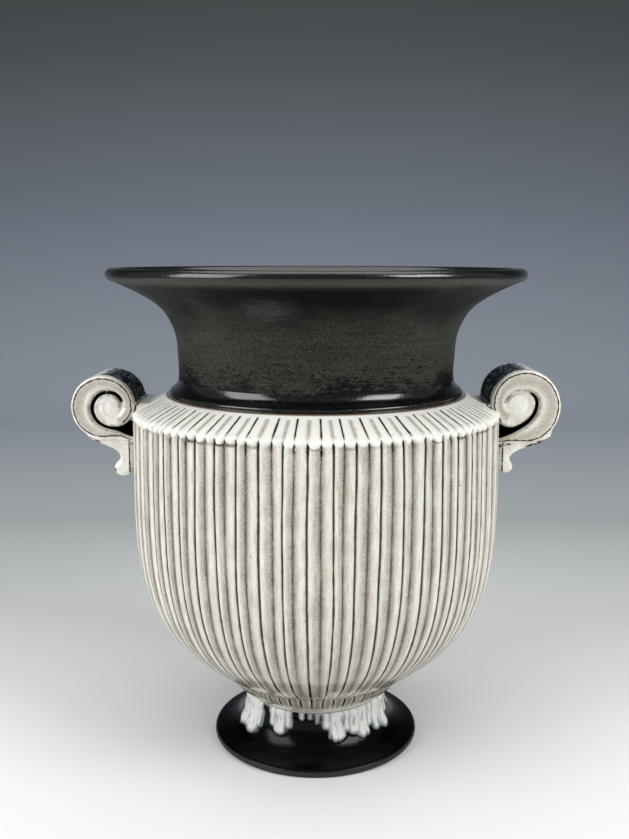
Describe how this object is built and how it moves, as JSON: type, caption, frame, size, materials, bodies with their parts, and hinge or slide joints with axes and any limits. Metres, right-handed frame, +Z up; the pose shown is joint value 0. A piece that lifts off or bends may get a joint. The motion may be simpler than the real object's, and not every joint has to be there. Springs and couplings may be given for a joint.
{
  "type": "handled studio vase in the form of a krater",
  "caption": "Wide-mouthed stoneware vase with a flared black neck and foot, a reeded white-glazed body and a rolled scroll handle on each shoulder",
  "frame": {"origin": "on the vase's axis, at the level of the ring it stands on, midway between the handles' outer sides", "axes": "+Z up along the axis to the mouth, +X towards one handle, +Y from the front of the picture's view to the back"},
  "size_m": [0.297, 0.253, 0.3],
  "materials": {
    "glaze": "glossy white glaze over dark clay on the reeded body, satin black glaze on the neck, glossy black on the foot"
  },
  "bodies": {
    "root": {"krater_vase": "glaze"}
  },
  "joints": []
}
